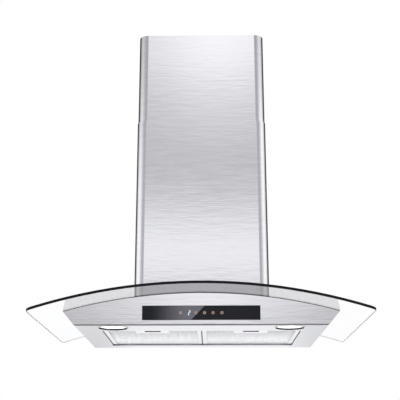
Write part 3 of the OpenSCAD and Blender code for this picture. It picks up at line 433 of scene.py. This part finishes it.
def copper_print(t):
    cloud = t.noise(t.place(), 500.0, 2.0)
    return t.surface(Base_Color=t.mix(cloud, (0.52, 0.36, 0.275), (0.68, 0.485, 0.385)),
                     Metallic=0.1, Roughness=0.35, Specular_IOR_Level=0.2)


def lit_digit(t):
    cloud = t.noise(t.place(), 600.0, 2.0)
    return t.surface(Base_Color=t.mix(cloud, (0.62, 0.66, 0.72), (0.70, 0.74, 0.80)), Roughness=0.3,
                     Emission_Color=(0.85, 0.92, 1.0), Emission_Strength=1.3)


def lens(t):
    """White lens that glows softly."""
    dots = t.noise(t.place(), 700.0, 2.0)
    return t.surface(Base_Color=t.mix(dots, (0.93, 0.93, 0.92), (0.98, 0.98, 0.97)), Roughness=0.35,
                     Emission_Color=(1.0, 0.995, 0.98), Emission_Strength=0.85,
                     Normal=t.bump(dots, 0.1, 0.0003))


def bezel(t):
    """Bright ring with painted shade inside it, near black round the lens."""
    x, y, z = t.split(t.place())
    reach = t.length(t.math("SUBTRACT", t.math("ABSOLUTE", x), LAMP_X), t.math("ADD", y, LAMP_Y))
    # Painted shade: near the lens, the inside of the ring is coloured near black
    painted_shade_inside = t.product(t.math("LESS_THAN", reach, LAMP_SHADE_R), t.math("GREATER_THAN", z, above(LAMP_SHADE_Z)))
    cloud = t.noise(t.place(), 80.0, 3.0)
    bright = t.surface(Base_Color=(0.83, 0.83, 0.84), Metallic=1.0,
                       Roughness=t.vary(cloud, 0.12, 0.22))
    dark = t.surface(Base_Color=t.mix(cloud, (0.016, 0.017, 0.020), (0.024, 0.025, 0.028)),
                     Roughness=0.6, Specular_IOR_Level=0.2)
    return t.blend(painted_shade_inside, bright, dark)


def copper_wire(t):
    turns = t.texture("ShaderNodeTexWave", t.place(), 260.0, wave_type="RINGS", rings_direction="X")
    turns.inputs["Distortion"].default_value = 1.5
    turns = turns.outputs["Fac"]
    return t.surface(Base_Color=t.mix(turns, (0.30, 0.10, 0.035), (0.78, 0.36, 0.16)), Metallic=0.9,
                     Roughness=0.3, Normal=t.bump(turns, 0.5, 0.0006))


def laminations(t):
    sheets = t.texture("ShaderNodeTexWave", t.place(), 320.0, bands_direction="X").outputs["Fac"]
    return t.surface(Base_Color=t.mix(sheets, (0.12, 0.12, 0.13), (0.34, 0.34, 0.36)), Metallic=0.8,
                     Roughness=0.45, Normal=t.bump(sheets, 0.3, 0.0004))


def board(t):
    track = t.add("ShaderNodeTexBrick")
    t.plug(t.scaled(t.place(), (60.0, 60.0, 60.0)), track.inputs["Vector"])
    track.inputs["Mortar Size"].default_value = 0.06
    track = track.outputs["Fac"]
    return t.surface(Base_Color=t.mix(track, (0.010, 0.075, 0.030), (0.030, 0.190, 0.080)),
                     Roughness=0.35, Normal=t.bump(track, 0.3, 0.0003))


def latch_housing(t):
    """Light plastic with painted shade, near black, inside the finger slot."""
    x, y, z = t.split(t.place())
    across = t.math("ABSOLUTE", t.math("SUBTRACT", t.math("ABSOLUTE", x), FILTER_X))
    # Painted shade: inside the finger slot the plastic is coloured near black
    slot_shade = t.product(t.math("LESS_THAN", across, WELL_HALF_W), t.math("LESS_THAN", y, WELL_REAR),
                     t.math("GREATER_THAN", y, WELL_FRONT),
                     t.math("GREATER_THAN", z, above(WELL_Z)))
    cloud = t.noise(t.place(), 400.0, 2.0)
    light = t.mix(cloud, (0.52, 0.53, 0.55), (0.58, 0.59, 0.61))
    return t.surface(Base_Color=t.mix(slot_shade, light, (0.012, 0.012, 0.014)), Metallic=0.3,
                     Roughness=t.vary(cloud, 0.3, 0.42), Normal=t.bump(cloud, 0.08, 0.0003))


def front_shade_tone(t, reach, front_tone):
    """Tone of a filter, made darker towards the front as painted shade."""
    y = t.split(t.place())[1]
    return t.remap(y, -FILTER_FRONT, FILTER_D - FILTER_FRONT - reach, front_tone, 1.0)


def filter_net(t):
    """Bright aluminium net."""
    cloud = t.noise(t.place(), 240.0, 5.0, 0.6)
    # Painted shade: the net is darker towards the front
    tone = t.product(front_shade_tone(t, 0.03, 0.54), t.vary(cloud, 0.95, 1.05))
    return t.surface(Base_Color=t.toned((0.985, 0.990, 1.0), tone), Metallic=1.0,
                     Roughness=t.vary(cloud, 0.18, 0.30), Normal=t.bump(cloud, 0.05, 0.0005))


def filter_layer(t):
    """Knitted metal seen behind the filter's lower net."""
    weave = t.texture("ShaderNodeTexVoronoi", t.place(), 420.0, feature="DISTANCE_TO_EDGE")
    strand = t.remap(weave.outputs["Distance"], 0.0, 0.25, 1.0, 0.0)
    colour = t.mix(strand, (0.84, 0.84, 0.85), (0.98, 0.98, 0.98))
    # Painted shade: the layers are darker towards the front
    return t.surface(Base_Color=t.toned(colour, front_shade_tone(t, 0.06, 0.62)), Metallic=0.25,
                     Roughness=0.5, Normal=t.bump(strand, 0.4, 0.0006))


LOWER_FOLD = {"axis": 2, "flat": above(0.0017), "sharp": above(0.0005), "reach": 2.2}
FRONT_FOLD = {"axis": 1, "flat": 0.012 - BODY_D, "sharp": 0.005 - BODY_D, "reach": 1.4}
LOOKS = {
    "steel": ("brushed_steel", brushed_steel(
        (0.932, 0.930, 0.954), 0.12, contrast=0.050, bump=0.36, fold=LOWER_FOLD)),
    "canopy_glass": ("canopy_glass", canopy_glass),
    "gasket": ("gasket_rubber", plastic((0.02, 0.02, 0.02), 0.7, 500.0)),
    "fastener": ("zinc_plate", plain_metal((0.70, 0.71, 0.72), 0.28)),
    "black_plastic": ("black_plastic", plastic((0.028, 0.028, 0.030), 0.45)),
    "control_glass": ("control_glass", control_glass),
    "board": ("circuit_board", board),
    "bezel": ("lamp_bezel", bezel),
    "lens": ("lamp_lens", lens),
    "lamp_body": ("heat_sink", plain_metal((0.62, 0.62, 0.63), 0.42, 200.0)),
    "galvanised": ("galvanised_sheet", galvanised),
    "motor_case": ("motor_enamel", plastic((0.19, 0.20, 0.21), 0.35, 160.0, 0.2)),
    "laminations": ("laminations", laminations),
    "copper": ("copper_wire", copper_wire),
    "bright_steel": ("bright_steel", plain_metal((0.72, 0.72, 0.74), 0.16, 300.0, 0.04)),
    "wheel": ("satin_aluminium", plain_metal((0.74, 0.75, 0.76), 0.33, 140.0)),
    "capacitor": ("capacitor_can", plastic((0.72, 0.72, 0.70), 0.4, 400.0)),
    # Side faces of the filter frames get painted shade, dark as in the gap between the filters
    "filter_aluminium": ("filter_aluminium", plain_metal(
        (0.94, 0.94, 0.95), 0.24, 240.0, spread=0.03, ends=0.35, crown=0.14)),
    "latch_plastic": ("latch_plastic", plastic((0.62, 0.63, 0.64), 0.38, 500.0, 0.1, 0.04)),
}
MATERIALS = {slot: material(name, build) for slot, (name, build) in LOOKS.items()}
# The underside panel's upright faces, the sides of the filter recesses, get painted shade
panel_steel = material("panel_steel", brushed_steel(
    (0.830, 0.828, 0.842), 0.15, contrast=0.020, bump=0.14, fold=FRONT_FOLD, wall_shade=0.60))
net_look = material("filter_net", filter_net)
layer_look = material("filter_layers", filter_layer)
housing_look = material("latch_body", latch_housing)
slot_of = {part["node"]: part["material_slot"] for part in frame["record"]["subparts"]}


def dress(obj, look):
    obj.data.materials.clear()
    obj.data.materials.append(look)


for name, obj in NODES.items():
    dress(obj, MATERIALS[slot_of[name]])
dress(NODES["underside_panel"], panel_steel)
for side in ("left", "right"):
    dress(NODES["filter_core_" + side], layer_look)
    dress(NODES["latch_" + side], MATERIALS["black_plastic"])
    dress(NODES["latch_housing_" + side], housing_look)


# Pieces

def piece(name, mesh, body, slot, look):
    obj = bpy.data.objects.new(name, mesh)
    bpy.context.scene.collection.objects.link(obj)
    dress(obj, look)
    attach(obj, body)
    return obj


def mesh_from(name, verts, faces, flat=False):
    mesh = bpy.data.meshes.new(name)
    mesh.from_pydata(verts, [], faces)
    mesh.validate()
    for face in mesh.polygons:
        face.use_smooth = not flat
    return mesh


def by_housing(point):
    """True where the latch housing stands in a filter's net."""
    x, y = point
    return abs(x) < LATCH_W / 2 + HOUSING_GAP and y < -LATCH_REAR + HOUSING_GAP


def strand_runs(points):
    """Splits a strand where the latch housing stands."""
    run = []
    for point in points:
        if by_housing(point):
            if len(run) > 1:
                yield run
            run = []
        else:
            run.append(point)
    if len(run) > 1:
        yield run


def net(name, x_mid, z):
    """Expanded aluminium net: tilted zigzag strands that meet their neighbours at each bend."""
    half = FILTER_W / 2 - RAIL_T - NET_GAP
    rear = -(FILTER_FRONT - FILTER_D) - RAIL_T - NET_GAP
    front = -FILTER_FRONT + RAIL_T + NET_GAP
    steps = int(2 * half / (NET_LONG / 2))
    step = 2 * half / steps
    rows = int((rear - front - NET_SHORT / 2) / (NET_SHORT / 2))
    amp = NET_SHORT / 4 - STRAND_W * STRAND_LAP
    verts, faces = [], []
    for row in range(rows):
        y_mid = front + NET_SHORT / 2 + row * (rear - front - NET_SHORT) / (rows - 1)
        points = []
        for i in range(steps + 1):
            up = 1 if (i + row) % 2 == 0 else -1
            points.append((-half + i * step, y_mid + up * amp))
        for run in strand_runs(points):
            base = len(verts)
            for x, y in run:
                for dy, dz in STRAND_SECTION:
                    verts.append((x_mid + x, y + dy * STRAND_W / 2, z + dz * STRAND_T / 2))
            for i in range(len(run) - 1):
                a, b = base + 3 * i, base + 3 * (i + 1)
                for k in range(3):
                    m = (k + 1) % 3
                    faces.append((a + k, a + m, b + m, b + k))
            end = base + 3 * (len(run) - 1)
            faces.append((base + 2, base + 1, base))
            faces.append((end, end + 1, end + 2))
    return mesh_from(name, verts, faces, True)


def coil(name, low, high):
    """Compression spring along y with closed end turns, as one unbroken wire."""
    x_mid, z_mid = (low[0] + high[0]) / 2, (low[2] + high[2]) / 2
    start, length = low[1] + WIRE_R, high[1] - low[1] - 2 * WIRE_R
    rings = COIL_TURNS * COIL_STEPS
    dead_rise = COIL_DEAD * COIL_TURNS * 2 * WIRE_R * COIL_PLAY / length
    verts, faces = [], []
    for k in range(rings + 1):
        t = k / rings
        if t < COIL_DEAD:
            along = t / COIL_DEAD * dead_rise
        elif t > 1 - COIL_DEAD:
            along = 1 - (1 - t) / COIL_DEAD * dead_rise
        else:
            along = dead_rise + (t - COIL_DEAD) / (1 - 2 * COIL_DEAD) * (1 - 2 * dead_rise)
        turn = 2 * math.pi * COIL_TURNS * t
        for m in range(WIRE_STEPS):
            a = 2 * math.pi * m / WIRE_STEPS
            r = COIL_R + WIRE_R * math.cos(a)
            y = start + length * along + WIRE_R * math.sin(a)
            verts.append((x_mid + r * math.cos(turn), y, z_mid + r * math.sin(turn)))
    for k in range(rings):
        a, b = k * WIRE_STEPS, (k + 1) * WIRE_STEPS
        for m in range(WIRE_STEPS):
            n = (m + 1) % WIRE_STEPS
            faces.append((a + m, b + m, b + n, a + n))
    faces.append(tuple(range(WIRE_STEPS)))
    faces.append(tuple(rings * WIRE_STEPS + WIRE_STEPS - 1 - m for m in range(WIRE_STEPS)))
    return mesh_from(name, verts, faces)


for side, sign in (("left", -1), ("right", 1)):
    lower = piece("filter_net_" + side,
                  net("filter_net_" + side, sign * FILTER_X, above(FILTER_Z + RAIL_T + NET_LIFT)),
                  "filter_" + side, "filter_aluminium", net_look)
    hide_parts("filter_mesh_" + side)

for side in ("left", "right"):
    low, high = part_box("latch_spring_" + side)
    spring = piece("latch_coil_" + side, coil("latch_coil_" + side, low, high), "filter_" + side,
                   slot_of["latch_spring_" + side], MATERIALS["bright_steel"])
    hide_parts("latch_spring_" + side)
    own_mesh(spring)


def on_fascia(x, up, out=0.0):
    """Point on the leaning fascia: x across, up along it, out in front of it."""
    y = -BODY_D - math.sin(LEAN) * up - math.cos(LEAN) * out
    z = math.cos(LEAN) * up - math.sin(LEAN) * out
    return Vector((x, y, above(z)))


def flat_ring(verts, faces, x, radii, steps):
    """Adds a thin printed ring at the height of the touch spots."""
    base = len(verts)
    for i in range(steps):
        a = 2 * math.pi * i / steps
        for r in radii:
            for out in (MARK_IN, MARK_OUT):
                verts.append(on_fascia(x + r * math.cos(a), CTRL_Z + r * math.sin(a), out))
    for i in range(steps):
        a, b = base + 4 * i, base + 4 * ((i + 1) % steps)
        faces += [(a + 1, a + 3, b + 3, b + 1), (a + 3, a + 2, b + 2, b + 3),
                  (a, a + 1, b + 1, b), (a + 2, a, b, b + 2)]


def spots():
    """Rings with a dot in each, on every key but the one that shows the digit."""
    verts, faces = [], []
    for i, x in enumerate(KEYS):
        if i != DIGIT_KEY:
            flat_ring(verts, faces, x, SPOT_RING, 40)
            flat_ring(verts, faces, x, SPOT_DOT, 24)
    return mesh_from("touch_spots", verts, faces, True)


def digit():
    """A slanted figure 2 of bars; their ends are in half widths and quarter heights."""
    bars = (((-1, 2), (1, 2)), ((1, 2), (1, 0)), ((-1, 0), (1, 0)), ((-1, 0), (-1, -2)),
            ((-1, -2), (1, -2)))
    verts, faces = [], []
    for (x0, u0), (x1, u1) in bars:
        start = Vector((x0 * DIGIT_W / 2, u0 * DIGIT_H / 4))
        end = Vector((x1 * DIGIT_W / 2, u1 * DIGIT_H / 4))
        way = (end - start).normalized()
        across = Vector((-way.y, way.x)) * BAR / 2
        start += way * BAR * BAR_GAP
        end -= way * BAR * BAR_GAP
        outline = [start, start + way * BAR / 2 + across, end - way * BAR / 2 + across, end,
                   end - way * BAR / 2 - across, start + way * BAR / 2 - across]
        base = len(verts)
        for out in (MARK_OUT, MARK_IN):
            for p in outline:
                verts.append(on_fascia(KEYS[DIGIT_KEY] + p.x + p.y * DIGIT_SLANT, CTRL_Z + p.y, out))
        faces.append(tuple(base + k for k in range(6)))
        faces.append(tuple(base + 11 - k for k in range(6)))
        for k in range(6):
            m = (k + 1) % 6
            faces.append((base + k, base + 6 + k, base + 6 + m, base + m))
    return mesh_from("speed_digit", verts, faces, True)


piece("touch_spots", spots(), "canopy", "control_glass", material("copper_print", copper_print))
piece("speed_digit", digit(), "canopy", "control_glass", material("lit_digit", lit_digit))


# Smooth shading of what is round, and small rounding of edges

def clean_normals(obj):
    if obj.data.has_custom_normals:
        bpy.context.view_layer.objects.active = obj
        with bpy.context.temp_override(object=obj, active_object=obj, selected_objects=[obj]):
            bpy.ops.mesh.customdata_custom_splitnormals_clear()


def smooth(obj):
    for face in obj.data.polygons:
        face.use_smooth = True
    edges = bmesh.new()
    edges.from_mesh(obj.data)
    sharp = [edge.index for edge in edges.edges
             if len(edge.link_faces) != 2 or edge.calc_face_angle(0.0) > SHARP_ANGLE]
    edges.free()
    for index in sharp:
        obj.data.edges[index].use_edge_sharp = True


for name, obj in NODES.items():
    clean_normals(obj)
    smooth(obj)
    if name in ROUNDED:
        bevel = obj.modifiers.new("edge", "BEVEL")
        bevel.width = ROUNDED[name]
        bevel.segments = 2
        bevel.limit_method = "ANGLE"
        bevel.angle_limit = BEVEL_ANGLE
        bevel.harden_normals = True


# Floor

FLOOR_SIZE, FLOOR_Z = 30.0, -2.6


def floor_look(t):
    """Pale floor that the camera sees as plain white."""
    path = t.add("ShaderNodeLightPath").outputs
    cloud = t.noise(t.place(), 2.0, 2.0)
    pale = t.surface(Base_Color=t.mix(cloud, (0.86, 0.86, 0.86), (0.88, 0.88, 0.88)), Roughness=0.9,
                     Specular_IOR_Level=0.1)
    white = t.add("ShaderNodeEmission")
    white.inputs["Strength"].default_value = 1.0
    seen = t.math("MAXIMUM", path["Is Camera Ray"], path["Is Transmission Ray"])
    return t.blend(seen, pale, white.outputs[0])


bpy.ops.mesh.primitive_plane_add(size=FLOOR_SIZE, location=(0, 0, FLOOR_Z))
floor = bpy.context.object
floor.name = "floor"
floor.visible_glossy = False
dress(floor, material("pale_floor", floor_look))
floor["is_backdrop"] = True

# Surroundings: brightness by height above the horizon (rise) and by the angle round from straight
# behind the hood (turn), both in degrees. The front is at a turn of 180
FRONT_RISE = [
    (-90, 0.08), (-56, 0.10), (-44, 0.60), (-18, 0.66), (-12, 0.50), (-8, 0.52), (-6, 0.76),
    (-4.6, 1.0), (-3, 1.0), (2, 1.0), (4.5, 0.80), (6.5, 0.58), (10.6, 0.55), (11.8, 0.88),
    (13.0, 1.0), (14.4, 1.0), (15.8, 0.785), (17.7, 0.585), (20, 0.52), (21.5, 0.655),
    (23.5, 0.695), (24.6, 0.80), (26, 0.96), (28, 1.0), (60, 1.0), (90, 0.9)]
BACK_RISE = [
    (-90, 0.04), (-48, 0.05), (-38, 0.95), (-30, 1.0), (-8, 1.0), (-3, 0.85), (4, 0.10),
    (45, 0.06), (62, 0.8), (90, 0.9)]
BACK_TURN = [
    (0, 1.0), (5, 1.0), (6.4, 0.78), (7.4, 0.70), (8.8, 0.72), (9.8, 1.0), (60, 1.0)]
HIGH_TURN = [
    (0, 0.0), (55, 0.0), (62, 0.10), (70, 0.42), (82, 0.78), (97, 0.98), (117, 0.96), (131, 0.76),
    (142, 0.54), (152, 0.45), (160, 0.42), (168, 0.46), (174, 0.80), (180, 0.80)]
HIGH_RISE_LEFT = [
    (0, 1.0), (16, 1.0), (18.7, 0.90), (22, 0.76), (24.3, 0.67), (27.3, 0.58), (60, 0.57),
    (90, 0.8)]
HIGH_RISE_RIGHT = [
    (0, 1.0), (22, 1.0), (23.2, 0.90), (24.3, 0.83), (27.3, 0.75), (60, 0.7), (90, 0.8)]
LOW_TURN = [
    (0, 0.95), (18, 0.92), (32, 0.62), (45, 0.48), (75, 0.62), (100, 0.90), (125, 0.70),
    (150, 0.50), (180, 0.46)]
LOW_RISE = [(-90, 0.30), (-60, 0.45), (-35, 0.62), (-15, 0.92), (5, 1.0)]
BULGE_ASIDE = [
    (-5, 0.0), (-3.4, 0.0), (-2.65, 0.25), (-1.92, 0.5), (-1.19, 0.68), (-0.46, 0.85),
    (0.26, 0.93), (1.0, 1.0), (1.7, 1.0), (2.45, 0.86), (3.2, 0.62), (5, 0.45)]
BULGE_RISE = [
    (0, 0.0), (18, 0.0), (19.2, 0.1), (21.3, 0.55), (23.4, 0.8), (25, 1.0), (45, 1.0)]
HIGH_GAIN = 1.06
THROUGH_GLASS = 0.48
DULL_SKY = 0.75


def sky_tone(w):
    """Brightness that metal and glass see in each direction."""
    dx, dy, dz = w.split(w.add("ShaderNodeTexCoord").outputs["Generated"])
    rise = w.angle(dz, w.length(dx, dy))
    turn = w.angle(w.math("ABSOLUTE", dx), dy)
    is_low = w.share(rise, 8.0, 2.0)
    is_front = w.share(turn, 168.0, 173.0)
    is_back = w.between(is_low, w.share(turn, 62.0, 52.0), w.share(turn, 15.0, 11.0))

    # Both sides of the hood, the two above the horizon differing, and then its front and back
    high_fall = w.between(w.math("GREATER_THAN", dx, 0.0), w.profile(rise, 0, 90, HIGH_RISE_LEFT),
                          w.profile(rise, 0, 90, HIGH_RISE_RIGHT))
    high_fall = w.between(w.share(turn, 128.0, 150.0), high_fall,
                          w.remap(rise, 18.0, 27.0, 1.0, 0.88))
    high = w.product(w.profile(turn, 0, 180, HIGH_TURN), high_fall, HIGH_GAIN)
    low = w.product(w.profile(turn, 0, 180, LOW_TURN), w.profile(rise, -90, 10, LOW_RISE))
    tone = w.between(is_front, w.between(is_low, high, low), w.profile(rise, -90, 90, FRONT_RISE))
    tone = w.between(is_back, tone, w.profile(rise, -90, 90, BACK_RISE))

    # In front the light near the horizon fades sideways, but not far below it
    off_axis = w.math("SUBTRACT", 180.0, turn)
    edge_fall = w.between(w.share(rise, -13.0, -19.0), w.remap(off_axis, 1.0, 9.0, 1.0, 0.62), 1.0)
    fall = w.between(w.product(is_low, is_front), 1.0, edge_fall)

    # High in front it is strongest a little right of the middle
    aside = w.math("ADD", w.angle(dx, w.product(dy, -1.0)), 0.5)
    bulge = w.remap(w.profile(aside, -5, 5, BULGE_ASIDE), 0.0, 1.0, -0.18, 0.13)
    bulge = w.product(bulge, w.profile(rise, 0, 45, BULGE_RISE))
    fall = w.product(fall, w.math("ADD", 1.0, w.product(bulge, is_front)))

    # Behind, just below the horizon, it has a dim band on each side of the middle
    near_level = w.product(is_low, w.share(rise, -10.6, -9.4))
    fall = w.between(w.product(near_level, is_back), fall, w.profile(turn, 0, 60, BACK_TURN))
    return w.product(tone, fall)


def studio(w):
    """Soft bands of light for what shines, an even sky for what is dull, and white for the camera."""
    path = w.add("ShaderNodeLightPath").outputs
    glossy = path["Is Glossy Ray"]
    through = w.product(glossy, w.math("GREATER_THAN", path["Transmission Depth"], 0.5))
    seen = w.product(sky_tone(w), w.between(through, 1.0, THROUGH_GLASS))
    white = w.math("MAXIMUM", path["Is Camera Ray"], path["Is Transmission Ray"])
    strength = w.between(white, w.between(glossy, DULL_SKY, seen), 1.0)
    mirrored = w.product(glossy, w.math("SUBTRACT", 1.0, path["Is Transmission Ray"]))
    sky = w.add("ShaderNodeBackground")
    w.plug(w.mix(mirrored, (1.0, 1.0, 1.0), (0.972, 0.976, 1.0)), sky.inputs["Color"])
    w.plug(strength, sky.inputs["Strength"])
    return sky.outputs[0]


bpy.context.scene.world = grow(bpy.data.worlds.new("studio"), studio, "ShaderNodeOutputWorld")


def softbox(name, place, target, size, power):
    lamp = bpy.data.lights.new(name, "AREA")
    lamp.shape = "SQUARE"
    lamp.size = size
    lamp.energy = power
    obj = bpy.data.objects.new(name, lamp)
    bpy.context.scene.collection.objects.link(obj)
    obj.location = place
    way = Vector(target) - Vector(place)
    obj.rotation_euler = way.to_track_quat("-Z", "Y").to_euler()
    obj.visible_glossy = False
    obj.visible_camera = False


softbox("key_light", (-1.6, -2.2, 2.4), (0, -0.2, 0.1), 1.8, 26.0)
softbox("fill_light", (2.2, -1.8, 0.6), (0, -0.2, 0.1), 1.6, 12.0)
softbox("low_light", (0.0, 0.3, -1.3), (0, -0.2, -0.1), 1.6, 34.0)

# Camera at the photograph's place, with angles in degrees and the focal length in pixels
CAMERA_AT = Vector((0.01798, -2.34276, -0.46721))
PITCH, YAW, ROLL = 17.075, 0.600, 0.060
FOCAL_PIXELS, FRAME_PIXELS, SENSOR = 872.0, 400.0, 36.0
camera_data = bpy.data.cameras.new("camera")
camera_data.sensor_width = SENSOR
camera_data.lens = FOCAL_PIXELS / FRAME_PIXELS * SENSOR
camera_data.clip_start = 0.05
camera_data.clip_end = 60.0
camera = bpy.data.objects.new("camera", camera_data)
bpy.context.scene.collection.objects.link(camera)
turned = (Matrix.Rotation(math.radians(YAW), 4, "Z")
          @ Matrix.Rotation(math.radians(90 + PITCH), 4, "X")
          @ Matrix.Rotation(math.radians(-ROLL), 4, "Z"))
camera.matrix_world = Matrix.Translation(CAMERA_AT) @ turned
bpy.context.scene.camera = camera
bpy.context.scene.view_settings.view_transform = "Standard"

boxes = {"cad": cad_box, "visual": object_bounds()}
{name: [list(corner) for corner in pair] for name, pair in boxes.items()}
